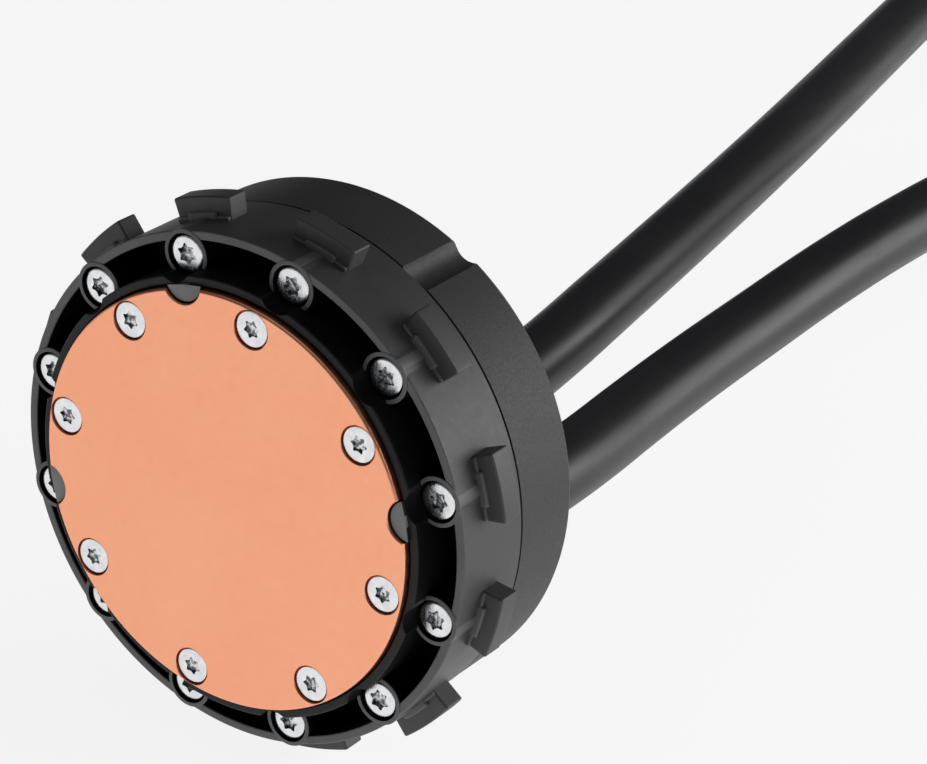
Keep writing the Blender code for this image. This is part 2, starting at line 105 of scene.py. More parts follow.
def soft_light(name, place, aim, width, height, power):
    """A rectangular soft light at a place, turned to face a point."""
    data = bpy.data.lights.new(name, "AREA")
    data.shape = "RECTANGLE"
    data.size, data.size_y = width, height
    data.energy = power
    light = bpy.data.objects.new(name, data)
    light.location = place
    light.rotation_euler = (Vector(aim) - Vector(place)).to_track_quat("-Z", "Y").to_euler()
    bpy.context.scene.collection.objects.link(light)


soft_light("overhead", (0.1, -0.1, 1.5), (0.0, 0.05, 0.0), 1.8, 1.8, 2.2)
soft_light("right_side", (0.62, 0.52, 0.20), (0.0, 0.02, 0.0), 0.55, 0.45, 3.6)

# ---------------------------------------------------------------------------------------
# Hoses: two smooth black rubber hoses, 10.8 mm across. They come straight out of the
# cover, part from each other and sink to the floor, where their end fittings lie.
# ---------------------------------------------------------------------------------------
HOSE_DIAMETER = 10.8 * MM


def new_material(name, metallic=0.0):
    """A material with its nodes, its shader, and the place of a point on the object."""
    mat = bpy.data.materials.new(name)
    mat.use_nodes = True
    nodes, links = mat.node_tree.nodes, mat.node_tree.links
    shader = nodes["Principled BSDF"]
    shader.inputs["Metallic"].default_value = metallic
    place = nodes.new("ShaderNodeTexCoord").outputs["Object"]
    return mat, nodes, links, shader, place


def noise(nodes, links, place, scale, detail=3.0, roughness=0.5, stretch=(1.0, 1.0, 1.0)):
    """Cloudy values at a scale given as repeats to the metre."""
    mapping = nodes.new("ShaderNodeMapping")
    mapping.inputs["Scale"].default_value = stretch
    texture = nodes.new("ShaderNodeTexNoise")
    texture.inputs["Scale"].default_value = scale
    texture.inputs["Detail"].default_value = detail
    texture.inputs["Roughness"].default_value = roughness
    links.new(place, mapping.inputs["Vector"])
    links.new(mapping.outputs["Vector"], texture.inputs["Vector"])
    return texture.outputs["Fac"]


def between(nodes, links, value, low, high, start=0.3, end=0.7):
    """Blends from one colour to another as a value rises from start to end."""
    ramp = nodes.new("ShaderNodeValToRGB")
    ramp.color_ramp.elements[0].position, ramp.color_ramp.elements[1].position = start, end
    ramp.color_ramp.elements[0].color = (*low, 1.0)
    ramp.color_ramp.elements[1].color = (*high, 1.0)
    links.new(value, ramp.inputs["Fac"])
    return ramp.outputs["Color"]


def in_range(nodes, links, value, low, high, start=0.3, end=0.7):
    """Turns a value between start and end into a number between low and high."""
    node = nodes.new("ShaderNodeMapRange")
    node.inputs["From Min"].default_value, node.inputs["From Max"].default_value = start, end
    node.inputs["To Min"].default_value, node.inputs["To Max"].default_value = low, high
    links.new(value, node.inputs["Value"])
    return node.outputs["Result"]


def bumped(nodes, links, shader, layers):
    """Raises the surface by each layer's (height value, depth in metres)."""
    normal = None
    for height, depth in layers:
        bump = nodes.new("ShaderNodeBump")
        bump.inputs["Strength"].default_value = 1.0
        bump.inputs["Distance"].default_value = depth
        links.new(height, bump.inputs["Height"])
        if normal:
            links.new(normal, bump.inputs["Normal"])
        normal = bump.outputs["Normal"]
    links.new(normal, shader.inputs["Normal"])


hose_rubber, nodes, links, shader, place = new_material("hose_rubber")
cloud = noise(nodes, links, place, 60.0, 4.0)
grain = noise(nodes, links, place, 2600.0, 2.0)
streaks = noise(nodes, links, place, 500.0, 3.0, stretch=(1.0, 0.06, 1.0))
links.new(between(nodes, links, cloud, (0.010, 0.010, 0.011), (0.017, 0.017, 0.018)),
          shader.inputs["Base Color"])
links.new(in_range(nodes, links, streaks, 0.36, 0.46), shader.inputs["Roughness"])
shader.inputs["Specular IOR Level"].default_value = 0.5
bumped(nodes, links, shader, [(grain, 0.000012), (streaks, 0.00001)])

ROUTES = {
    "lower": [(27.6, 24, -2.95), (27.6, 39, -2.95), (26.9, 51, -3.1), (25.9, 63, -3.1),
              (25.3, 78, -2.6), (25.3, 100, -1.6), (26.6, 122, 0.4), (27.9, 143, 1.4),
              (29.0, 163, 1.3), (29.0, 186, -1.2), (28.7, 212, -8.6), (27.9, 240, -18.7),
              (27.2, 266, -27.2), (27.0, 285, -31.3), (27.0, 302, -32.406),
              (27.0, 330, -32.406), (27.0, 365, -32.406), (27.0, 400, -32.406)],
    "upper": [(4.6, 24, -6.3), (4.6, 39, -6.2), (4.4, 56, -4.9), (4.2, 73, -3.1),
              (3.3, 92, -0.7), (0.6, 122, 1.9), (-3.2, 152, 3.6), (-8.7, 183, 4.0),
              (-14.5, 213.5, 4.2), (-19.0, 238, 4.3), (-22.0, 258, 4.2), (-22.5, 280, 0.5),
              (-23.0, 302, -8.3), (-23.6, 326, -19.9), (-23.6, 350, -29.3),
              (-23.6, 370, -32.406), (-23.6, 384, -32.406), (-23.6, 400, -32.406)],
}
for side, route in ROUTES.items():
    curve = bpy.data.curves.new("hose_line_" + side, "CURVE")
    curve.dimensions = "3D"
    curve.bevel_depth = HOSE_DIAMETER / 2
    curve.bevel_resolution = 12
    curve.resolution_u = 12
    curve.use_fill_caps = True
    spline = curve.splines.new("BEZIER")
    spline.bezier_points.add(len(route) - 1)
    for point, (x, y, z) in zip(spline.bezier_points, route):
        point.co = (x * MM, y * MM, z * MM)
        point.handle_left_type = point.handle_right_type = "AUTO"
    curve.materials.append(hose_rubber)
    hose = bpy.data.objects.new("rubber_hose_" + side, curve)
    bpy.context.scene.collection.objects.link(hose)
    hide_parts("hose_" + side)
    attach(hose, "head")

# ---------------------------------------------------------------------------------------
# End sleeves: a bright metal sleeve crimped round each hose's end in three narrow bands,
# which holds the hose on the barb of its fitting.
# ---------------------------------------------------------------------------------------
CRIMP_BANDS = (2.6, 5.4, 8.2)
CRIMP_DEPTH = 0.4


def spot_of(node):
    """A node's middle across the head, (x, z) in mm."""
    low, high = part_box(node)
    return (low.x + high.x) / 2 / MM, (low.z + high.z) / 2 / MM


def put_down():
    """Leaves edit mode, with nothing selected."""
    if bpy.context.mode != "OBJECT":
        bpy.ops.object.mode_set(mode="OBJECT")
    bpy.ops.object.select_all(action="DESELECT")


def first_point(name, x, y, z):
    """Starts a new piece as one point and leaves it in edit mode."""
    put_down()
    bpy.ops.mesh.primitive_plane_add(size=1.0, location=(0.0, 0.0, 0.0))
    piece = bpy.context.object
    piece.name = piece.data.name = name
    bpy.ops.object.mode_set(mode="EDIT")
    bpy.ops.mesh.select_mode(type="VERT")
    bpy.ops.mesh.select_all(action="SELECT")
    bpy.ops.mesh.merge(type="CENTER")
    bpy.ops.transform.translate(value=(x * MM, y * MM, z * MM))
    return piece


def turned(name, section, steps, centre=(0.0, 0.0), angle=360.0, start=0.0):
    """Draws half a section point by point, as (radius, depth) in mm, and spins it round
    the line through centre that runs in +Y. The piece is left in edit mode."""
    cx, cz = centre
    ux, uz = math.cos(math.radians(start)), math.sin(math.radians(start))
    r, y = section[0]
    piece = first_point(name, cx + r * ux, y, cz + r * uz)
    for (r0, y0), (r1, y1) in zip(section, section[1:]):
        move = ((r1 - r0) * ux * MM, (y1 - y0) * MM, (r1 - r0) * uz * MM)
        bpy.ops.mesh.extrude_region_move(TRANSFORM_OT_translate={"value": move})
    bpy.ops.mesh.select_all(action="SELECT")
    bpy.ops.mesh.remove_doubles(threshold=1e-6)
    if angle < 360.0:
        bpy.ops.mesh.edge_face_add()
    bpy.ops.mesh.spin(steps=steps, angle=math.radians(angle),
                      center=(cx * MM, 0.0, cz * MM), axis=(0.0, 1.0, 0.0))
    bpy.ops.mesh.select_all(action="SELECT")
    bpy.ops.mesh.remove_doubles(threshold=1e-6)
    bpy.ops.mesh.normals_make_consistent(inside=False)
    return piece


def round_edges(size, segments=2, sharpness=30.0):
    """Bevels the sharp edges of the piece that is in edit mode."""
    bpy.ops.mesh.select_mode(type="EDGE")
    bpy.ops.mesh.select_all(action="DESELECT")
    bpy.ops.mesh.edges_select_sharp(sharpness=math.radians(sharpness))
    bpy.ops.mesh.bevel(offset=size * MM, segments=segments, affect="EDGES", clamp_overlap=True)
    bpy.ops.mesh.select_mode(type="VERT")


def combine(piece, operation, tool):
    """Joins a second shape to a piece, or cuts it away, and removes the second shape."""
    put_down()
    bpy.context.view_layer.objects.active = piece
    modifier = piece.modifiers.new(operation, "BOOLEAN")
    modifier.operation, modifier.object, modifier.solver = operation, tool, "EXACT"
    bpy.ops.object.modifier_apply(modifier=operation)
    bpy.data.objects.remove(tool)


def finished(piece, finish, nodes, body="head", smooth=35.0):
    """Shades and paints a piece, and puts it on its body in place of its CAD nodes."""
    put_down()
    piece.select_set(True)
    bpy.context.view_layer.objects.active = piece
    bpy.ops.object.shade_smooth_by_angle(angle=math.radians(smooth))
    even = piece.modifiers.new("even_faces", "WEIGHTED_NORMAL")
    even.keep_sharp = True
    bpy.ops.object.modifier_apply(modifier=even.name)
    piece.data.materials.clear()
    piece.data.materials.append(finish)
    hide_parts(*nodes)
    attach(piece, body)


def also_finished(piece, finish, chosen):
    """Gives a further finish to the faces whose middle, in mm, is chosen."""
    piece.data.materials.append(finish)
    last = len(piece.data.materials) - 1
    for face in piece.data.polygons:
        if chosen(face.center / MM):
            face.material_index = last


fitting_metal, nodes, links, shader, place = new_material("fitting_metal", 1.0)
cloud = noise(nodes, links, place, 150.0, 4.0)
turning = noise(nodes, links, place, 900.0, 3.0, stretch=(0.05, 1.0, 0.05))
links.new(between(nodes, links, cloud, (0.62, 0.63, 0.65), (0.78, 0.78, 0.79)),
          shader.inputs["Base Color"])
links.new(in_range(nodes, links, turning, 0.20, 0.38), shader.inputs["Roughness"])
bumped(nodes, links, shader, [(turning, 0.00001)])

for side in ("lower", "upper"):
    low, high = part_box("end_sleeve_" + side)
    front, back, outer = low.y / MM, high.y / MM, (high.x - low.x) / 2 / MM
    bore = HOSE_DIAMETER / 2 / MM + 0.15
    section = [(bore, front), (outer - 0.35, front), (outer, front + 0.5)]
    for band in CRIMP_BANDS:
        section += [(outer, front + band - 0.7), (outer - CRIMP_DEPTH, front + band - 0.25),
                    (outer - CRIMP_DEPTH, front + band + 0.25), (outer, front + band + 0.7)]
    section += [(outer, back - 0.4), (outer - 0.35, back), (bore, back), (bore, front)]
    sleeve = turned("crimped_sleeve_" + side, section, 96, spot_of("end_sleeve_" + side))
    finished(sleeve, fitting_metal, ["end_sleeve_" + side])

# ---------------------------------------------------------------------------------------
# End fittings: a hexagon for the spanner and a round spigot with a groove, turned from
# one bar and bored through. The spigot goes into a radiator's port up to its shoulder.
# ---------------------------------------------------------------------------------------
HEXAGON_LENGTH = 5.0
SHOULDER_RADIUS = 6.3
SPIGOT_RADIUS = 4.8
GROOVE_RADIUS = 4.0
BORE_RADIUS = 2.6
BORE_MOUTH = 3.0


def hexagon_bar(name, centre, across, front, back):
    """A six-sided bar along +Y with its corners eased."""
    put_down()
    bpy.ops.mesh.primitive_cylinder_add(
        vertices=6, radius=across / 2 / math.cos(math.radians(30)) * MM,
        depth=(back - front) * MM,
        location=(centre[0] * MM, (front + back) / 2 * MM, centre[1] * MM),
        rotation=(math.radians(90), math.radians(30), 0))
    bar = bpy.context.object
    bar.name = bar.data.name = name
    bpy.ops.object.transform_apply(location=True, rotation=True, scale=True)
    bpy.ops.object.mode_set(mode="EDIT")
    round_edges(0.4, 3)
    bpy.ops.object.mode_set(mode="OBJECT")
    return bar


for side in ("lower", "upper"):
    low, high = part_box("end_fitting_" + side)
    spot = spot_of("end_fitting_" + side)
    front, back = low.y / MM, high.y / MM
    fitting = hexagon_bar("port_fitting_" + side, spot, (high.z - low.z) / MM,
                          front, front + HEXAGON_LENGTH)
    end = front - 0.3    # the hose's end, from which the spigot's steps are counted
    combine(fitting, "UNION", turned("spigot", [
        (0, end + 4.0), (SHOULDER_RADIUS, end + 4.0), (SHOULDER_RADIUS, end + 7.8),
        (6.1, end + 8.0), (4.9, end + 8.0), (SPIGOT_RADIUS, end + 10.15),
        (GROOVE_RADIUS, end + 10.15), (GROOVE_RADIUS, end + 12.05), (SPIGOT_RADIUS, end + 12.05),
        (SPIGOT_RADIUS, end + 13.2), (4.3, back), (0, back)], 72, spot))
    combine(fitting, "DIFFERENCE", turned("bore", [
        (0, front - 1), (BORE_MOUTH, front - 1), (BORE_RADIUS, front + 0.4),
        (BORE_RADIUS, back - 0.4), (BORE_MOUTH, back + 0.1), (BORE_MOUTH, back + 1),
        (0, back + 1)], 64, spot))
    finished(fitting, fitting_metal, ["end_fitting_" + side])

# ---------------------------------------------------------------------------------------
# Seal rings: a black rubber ring in each spigot's groove, a little flattened by it, with
# the thin line that its mould leaves round the outside.
# ---------------------------------------------------------------------------------------
RING_RADIUS = 4.95
RING_HALF_WIDTH = 0.68
RING_POINTS = 24
MOULD_LINE = 0.05

seal_rubber, nodes, links, shader, place = new_material("seal_rubber")
cloud = noise(nodes, links, place, 400.0, 4.0)
links.new(between(nodes, links, cloud, (0.010, 0.010, 0.010), (0.022, 0.022, 0.022)),
          shader.inputs["Base Color"])
links.new(in_range(nodes, links, cloud, 0.50, 0.68), shader.inputs["Roughness"])
bumped(nodes, links, shader, [(noise(nodes, links, place, 3000.0, 2.0), 0.00001)])

for side in ("lower", "upper"):
    low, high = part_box("end_seal_" + side)
    middle = (low.y + high.y) / 2 / MM
    half_depth = (high.y - low.y) / 2 / MM
    section = []
    for k in range(RING_POINTS):
        turn = math.radians(360.0 / RING_POINTS * k)
        half_width = RING_HALF_WIDTH + (MOULD_LINE if k == 0 else 0.0)
        section.append((RING_RADIUS + half_width * math.cos(turn),
                        middle + half_depth * math.sin(turn)))
    section.append(section[0])
    ring = turned("seal_ring_" + side, section, 72, spot_of("end_seal_" + side))
    finished(ring, seal_rubber, ["end_seal_" + side])

# ---------------------------------------------------------------------------------------
# Cold plate: a thick copper disc, lapped flat on the face that meets the processor, with
# three shallow round notches in its edge, eight sunk screw seats and thin fins on the wet side.
# ---------------------------------------------------------------------------------------
def polar(radius, degrees):
    """A point across the head, from its distance in mm and its angle."""
    return radius * math.cos(math.radians(degrees)), radius * math.sin(math.radians(degrees))


def joined(pieces):
    """Several shapes that don't touch, as one object."""
    put_down()
    for piece in pieces:
        piece.select_set(True)
    bpy.context.view_layer.objects.active = pieces[0]
    bpy.ops.object.join()
    return pieces[0]


PLATE_RADIUS = 30.5
PLATE_THICK = 3.0
SEAT_RADIUS = 2.8
FIN_COUNT = 13
FIN_PITCH = 1.8
FIN_SIZE = (0.9, 3.0, 24.0)
NOTCH_ANGLES = [102.0, 12.0, -168.0]
NOTCH_RADIUS = 3.2
NOTCH_CIRCLE = 31.5
plate_spots = [spot_of("plate_screw_%d" % n) for n in range(1, 9)]

lapped_copper, nodes, links, shader, place = new_material("lapped_copper", 1.0)
cloud = noise(nodes, links, place, 45.0, 5.0, 0.6)
fine = noise(nodes, links, place, 1400.0, 3.0, stretch=(0.08, 1.0, 1.0))
cross = noise(nodes, links, place, 900.0, 3.0, stretch=(1.0, 1.0, 0.10))
specks = noise(nodes, links, place, 700.0, 2.0)
links.new(between(nodes, links, cloud, (0.99, 0.420, 0.246), (1.0, 0.450, 0.268)),
          shader.inputs["Base Color"])
links.new(in_range(nodes, links, specks, 0.30, 0.40), shader.inputs["Roughness"])
bumped(nodes, links, shader, [(fine, 0.0000022), (cross, 0.0000016)])

plate = turned("copper_plate", [(0, 0), (PLATE_RADIUS, 0), (PLATE_RADIUS, PLATE_THICK),
                                (0, PLATE_THICK)], 240)
round_edges(0.42, 5)
cutters = []
for a in NOTCH_ANGLES:
    cutters.append(turned("notch", [(0, -1), (NOTCH_RADIUS + 0.15, -1), (NOTCH_RADIUS + 0.15, 0),
                                    (NOTCH_RADIUS, 0.15), (NOTCH_RADIUS, 4), (0, 4)],
                          72, polar(NOTCH_CIRCLE, a)))
for spot in plate_spots:
    cutters.append(turned("seat", [(0, -1), (2.88, -1), (2.88, 0), (SEAT_RADIUS, 0.08),
                                   (SEAT_RADIUS, 1.6), (1.6, 1.6), (1.6, 4), (0, 4)], 48, spot))
combine(plate, "DIFFERENCE", joined(cutters))
fins = []
for k in range(FIN_COUNT):
    put_down()
    bpy.ops.mesh.primitive_cube_add(
        size=1.0, location=((k - FIN_COUNT // 2) * FIN_PITCH * MM, 4.3 * MM, 0.0),
        scale=(FIN_SIZE[0] * MM, FIN_SIZE[1] * MM, FIN_SIZE[2] * MM))
    fin = bpy.context.object
    bpy.ops.object.transform_apply(location=True, rotation=True, scale=True)
    bpy.ops.object.mode_set(mode="EDIT")
    round_edges(0.15, 2)
    bpy.ops.object.mode_set(mode="OBJECT")
    fins.append(fin)
combine(plate, "UNION", joined(fins))
finished(plate, lapped_copper, ["cold_plate"])

# ---------------------------------------------------------------------------------------
# Plate screws: eight bright flat-head screws with a small six-lobe recess, sunk almost
# level with the copper, each in a seat a little wider than its head.
# ---------------------------------------------------------------------------------------
LOBE_WAIST = 0.62
LOBE_ROUNDING = 0.17


def six_lobe_punch(radius, front, back):
    """The hole that a six-lobe driver fits: a twelve-sided bar with every other corner
    pushed in and all its long edges rounded."""
    put_down()
    bpy.ops.mesh.primitive_cylinder_add(
        vertices=12, radius=radius * MM, depth=(back - front) * MM,
        location=(0.0, (front + back) / 2 * MM, 0.0), rotation=(math.radians(90), 0, 0))
    bar = bpy.context.object
    bpy.ops.object.transform_apply(location=True, rotation=True, scale=True)
    bpy.ops.object.mode_set(mode="EDIT")
    bpy.ops.mesh.select_mode(type="VERT")
    bpy.ops.mesh.select_all(action="DESELECT")
    bpy.ops.object.mode_set(mode="OBJECT")
    for vert in bar.data.vertices:
        corner = round(math.degrees(math.atan2(vert.co.z, vert.co.x)) / 30.0)
        vert.select = corner % 2 == 1
    bpy.ops.object.mode_set(mode="EDIT")
    bpy.ops.transform.resize(value=(LOBE_WAIST, 1.0, LOBE_WAIST), center_override=(0.0, 0.0, 0.0))
    bpy.ops.mesh.select_mode(type="EDGE")
    bpy.ops.mesh.select_all(action="DESELECT")
    bpy.ops.object.mode_set(mode="OBJECT")
    for edge in bar.data.edges:
        a, b = (bar.data.vertices[v].co for v in edge.vertices)
        edge.select = abs(a.y - b.y) > 0.5 * (back - front) * MM
    bpy.ops.object.mode_set(mode="EDIT")
    bpy.ops.mesh.bevel(offset=LOBE_ROUNDING * radius * MM, segments=4, affect="EDGES")
    bpy.ops.mesh.select_mode(type="VERT")
    bpy.ops.object.mode_set(mode="OBJECT")
    return bar


def placed(model, name, centre, turn):
    """A copy of a piece that is modelled on the head's axis, turned and moved to centre."""
    put_down()
    copy = bpy.data.objects.new(name, model.data.copy())
    copy.data.name = name
    bpy.context.scene.collection.objects.link(copy)
    move = Matrix.Translation((centre[0] * MM, 0.0, centre[1] * MM))
    copy.data.transform(move @ Matrix.Rotation(math.radians(-turn), 4, "Y"))
    return copy


screw_steel, nodes, links, shader, place = new_material("screw_steel", 1.0)
cloud = noise(nodes, links, place, 700.0, 4.0)
scuffs = noise(nodes, links, place, 2200.0, 4.0, 0.7, stretch=(1.0, 1.0, 0.25))
links.new(between(nodes, links, cloud, (0.74, 0.75, 0.77), (0.90, 0.91, 0.92)),
          shader.inputs["Base Color"])
links.new(in_range(nodes, links, scuffs, 0.16, 0.34), shader.inputs["Roughness"])
bumped(nodes, links, shader, [(scuffs, 0.000012), (cloud, 0.00002)])

# painted shade: the six-lobe recesses of all the screws, dark in broken patches between the shade
# and the steel's own bright colour
recess_painted_shade, nodes, links, shader, place = new_material("recess_painted_shade", 1.0)
shade_patches = noise(nodes, links, place, 1500.0, 2.0)
links.new(between(nodes, links, shade_patches, (0.16, 0.165, 0.175), (0.80, 0.82, 0.84), 0.44, 0.58),
          shader.inputs["Base Color"])
links.new(in_range(nodes, links, shade_patches, 0.45, 0.30), shader.inputs["Roughness"])
bumped(nodes, links, shader, [(shade_patches, 0.00012)])

flat_screw = turned("flat_screw", [
    (0, 0.24), (2.38, 0.24), (2.5, 0.28), (2.58, 0.4), (2.58, 1.3), (2.3, 1.5), (1.3, 1.5),
    (1.3, 7.9), (0.9, 8.2), (0, 8.2)], 72)
combine(flat_screw, "DIFFERENCE", six_lobe_punch(1.45, -0.5, 0.62))
for number, spot in enumerate(plate_spots, 1):
    screw = placed(flat_screw, "flat_screw_%d" % number, spot, 37.0 * number)
    finished(screw, screw_steel, ["plate_screw_%d" % number])
    # the faces inside the recess take the painted shade
    also_finished(screw, recess_painted_shade,
                  lambda c: math.hypot(c.x - spot[0], c.z - spot[1]) < 1.6 and 0.26 < c.y < 1.0)
bpy.data.objects.remove(flat_screw)

# ---------------------------------------------------------------------------------------
# Base housing: one black moulding. Three pegs fill the copper plate's notches. A land lies
# round the plate, then deep pockets between twelve screw bosses, a thin rim, and twelve lugs
# that a mounting ring hooks behind.
# ---------------------------------------------------------------------------------------
RECESS_RADIUS = 30.75
RECESS_DEPTH = 3.3
LAND_RADIUS = 32.0
LAND_DEPTH = 1.0
POCKET_DEPTH = 12.0
RIM_INSIDE = 36.0
RIM_DEPTH = 4.0
BAND_RADIUS = 37.3
BASE_BACK = 17.5
PAST_BACK = 19.0
WATERWAY_DEPTH = 13.0
BOSS_RADIUS = 3.6
HEAD_SEAT_RADIUS = 3.0
screw_spots = [spot_of("flange_screw_%d" % n) for n in range(1, 13)]
screw_angles = [math.degrees(math.atan2(z, x)) for x, z in screw_spots]

housing_plastic, nodes, links, shader, place = new_material("housing_plastic")
cloud = noise(nodes, links, place, 90.0, 5.0, 0.6)
grain = noise(nodes, links, place, 4200.0, 3.0)
scuffs = noise(nodes, links, place, 800.0, 5.0, 0.65)
links.new(between(nodes, links, cloud, (0.046, 0.046, 0.046), (0.062, 0.062, 0.061)),
          shader.inputs["Base Color"])
links.new(in_range(nodes, links, scuffs, 0.46, 0.53), shader.inputs["Roughness"])
shader.inputs["Specular IOR Level"].default_value = 0.5
bumped(nodes, links, shader, [(grain, 0.00001), (scuffs, 0.00001)])

# the odd start angles keep the flats of the base and of its bosses from lying on each other
base = turned("housing", [
    (0, 7.0), (21.0, 7.0), (21.0, RECESS_DEPTH), (22.0, RECESS_DEPTH), (22.0, 4.8), (24.4, 4.8),
    (24.4, RECESS_DEPTH), (RECESS_RADIUS, RECESS_DEPTH), (RECESS_RADIUS, LAND_DEPTH),
    (LAND_RADIUS, LAND_DEPTH), (LAND_RADIUS, POCKET_DEPTH), (RIM_INSIDE, POCKET_DEPTH),
    (RIM_INSIDE, RIM_DEPTH), (BAND_RADIUS, RIM_DEPTH), (BAND_RADIUS, BASE_BACK),
    (0, BASE_BACK)], 240, start=0.37)
round_edges(0.22, 3)
bosses = []
for spot, a in zip(screw_spots, screw_angles):
    boss = turned("boss", [(0, 3.88), (BOSS_RADIUS, 3.88), (BOSS_RADIUS, 13.0), (0, 13.0)], 58,
                  spot, start=a + 1.3)
    round_edges(0.1, 2)
    bosses.append(boss)
combine(base, "UNION", joined(bosses))


def ring_of_blocks(name, inner, outer, front, back, steps, sweep, edge, segments):
    """A curved block outside each screw, between two radii and two depths, all as one."""
    blocks = []
    for a in screw_angles:
        blocks.append(turned(name, [(inner, front), (outer, front), (outer, back),
                                    (inner, back), (inner, front)],
                             steps, (0, 0), sweep, a - sweep / 2))
        round_edges(edge, segments)
    return joined(blocks)


# in front of each lug runs a low foot, with a thicker pad in its middle
combine(base, "UNION", ring_of_blocks("lug", 36.4, 40.5, 9.15, 12.8, 10, 14.0, 0.3, 3))
combine(base, "UNION", ring_of_blocks("foot", 36.6, 37.85, 8.7, 9.9, 9, 13.6, 0.16, 2))
combine(base, "UNION", ring_of_blocks("pad", 36.7, 38.4, 8.6, 10.1, 6, 7.6, 0.3, 3))
pegs = []
for a in NOTCH_ANGLES:
    pegs.append(turned("peg", [(0, 0.5), (NOTCH_RADIUS - 0.25, 0.5), (NOTCH_RADIUS - 0.25, 4.2),
                               (0, 4.2)], 66, polar(NOTCH_CIRCLE, a)))
pegs = joined(pegs)
combine(pegs, "INTERSECT", turned("rim", [(0, 0), (30.9, 0), (30.9, 4.5), (0, 4.5)], 240))
bpy.ops.object.select_all(action="DESELECT")
bpy.context.view_layer.objects.active = pegs
bpy.ops.object.mode_set(mode="EDIT")
round_edges(0.08, 2)
combine(base, "UNION", pegs)
seats = []
for spot in screw_spots:
    seats.append(turned("seat", [(0, 0), (HEAD_SEAT_RADIUS, 0), (HEAD_SEAT_RADIUS, 6.4),
                                 (1.75, 6.4), (1.75, PAST_BACK), (0, PAST_BACK)], 52, spot))
combine(base, "DIFFERENCE", joined(seats))
holes = [turned("hole", [(0, 2), (1.6, 2), (1.6, 8.5), (0, 8.5)], 24, spot)
         for spot in plate_spots]
holes += [turned("hole", [(0, WATERWAY_DEPTH), (1.35, WATERWAY_DEPTH), (1.35, PAST_BACK),
                          (0, PAST_BACK)], 24, spot_of("lid_screw_%d" % n)) for n in range(1, 5)]
combine(base, "DIFFERENCE", joined(holes))

# the wet side: the impeller's chamber, and the ways to it from both ports
motor = spot_of("shaft")
ports = {side: spot_of("hose_barb_" + side) for side in ("lower", "upper")}
combine(base, "DIFFERENCE", turned("chamber", [(0, 9.2), (12.8, 9.2), (12.8, PAST_BACK),
                                               (0, PAST_BACK)], 90, motor))


def channel(width, start, end, front=WATERWAY_DEPTH, back=PAST_BACK):
    """A straight-sided cut from one spot to another."""
    run = Vector(end) - Vector(start)
    middle = (Vector(end) + Vector(start)) / 2
    put_down()
    bpy.ops.mesh.primitive_cube_add(
        size=1.0, location=(middle.x * MM, (front + back) / 2 * MM, middle.y * MM),
        rotation=(0.0, -math.atan2(run.y, run.x), 0.0),
        scale=(run.length * MM, (back - front) * MM, width * MM))
    cut = bpy.context.object
    bpy.ops.object.transform_apply(location=True, rotation=True, scale=True)
    bpy.ops.object.mode_set(mode="EDIT")
    round_edges(0.5, 3)
    bpy.ops.object.mode_set(mode="OBJECT")
    return cut


combine(base, "DIFFERENCE", channel(5.6, (13.7, -2.9), (30.4, -2.95)))
away = (Vector(motor) - Vector(ports["upper"])).normalized() * 12.0
combine(base, "DIFFERENCE", channel(3.4, ports["upper"], Vector(ports["upper"]) + away))
drills = [turned("way", [(0, 6), (2.6, 6), (2.6, 14), (0, 14)], 40, (16.5, -2.9)),
          turned("way", [(0, 6), (2.4, 6), (2.4, 10), (0, 10)], 40,
                 (motor[0] - 4.0, motor[1] - 9.0))]
combine(base, "DIFFERENCE", joined(drills))
combine(base, "DIFFERENCE", turned("way", [(0, 12), (2.8, 12), (2.8, PAST_BACK),
                                           (0, PAST_BACK)], 40, ports["upper"]))
finished(base, housing_plastic, ["base_housing"], smooth=32.0)


def shade_of_plastic(name, low, high, rough_low, rough_high, gloss):
    """A darker or paler copy of the housing's plastic, with its own roughness and gloss; the
    pockets' copy is painted shade and the rim's is painted light.
    """
    finish, nodes, links, shader, place = new_material(name)
    cloud = noise(nodes, links, place, 140.0, 4.0)
    grain = noise(nodes, links, place, 3600.0, 3.0)
    links.new(between(nodes, links, cloud, low, high), shader.inputs["Base Color"])
    links.new(in_range(nodes, links, grain, rough_low, rough_high), shader.inputs["Roughness"])
    bumped(nodes, links, shader, [(grain, 0.00001)])
    shader.inputs["Specular IOR Level"].default_value = gloss
    return finish


# the land round the plate: a darker copy of the plastic
land_plastic = shade_of_plastic("land_plastic", (0.012, 0.012, 0.013), (0.020, 0.020, 0.021),
                                0.40, 0.52, 0.22)
# painted shade: a near-black copy of the plastic for the deep pockets and the flange screws' seats,
# where shade falls
pocket_painted_shade = shade_of_plastic("pocket_painted_shade", (0.002, 0.002, 0.002), (0.005, 0.005, 0.005),
                                  0.65, 0.80, 0.15)
# painted light: a paler copy of the plastic for the forward faces of the rim, the screw bosses, and
# the feet and pads in front of the lugs
rim_painted_light = shade_of_plastic("rim_painted_light", (0.095, 0.095, 0.094), (0.125, 0.125, 0.124),
                               0.44, 0.56, 0.5)
# the pegs: a paler copy of the plastic
peg_plastic = shade_of_plastic("peg_plastic", (0.19, 0.19, 0.19), (0.24, 0.24, 0.24),
                               0.45, 0.60, 0.5)
also_finished(base, land_plastic,
              lambda c: math.hypot(c.x, c.z) < LAND_RADIUS + 0.05 and c.y < RIM_DEPTH)
# the forward faces of the rim, the bosses, the feet and the pads take the painted light
also_finished(base, rim_painted_light,
              lambda c: math.hypot(c.x, c.z) > LAND_RADIUS + 0.05 and c.y < RIM_DEPTH + 0.08
              or math.hypot(c.x, c.z) > BAND_RADIUS + 0.2 and c.y < 9.1)
also_finished(base, peg_plastic, lambda c: math.hypot(c.x, c.z) < 31.0 and c.y < 0.65)
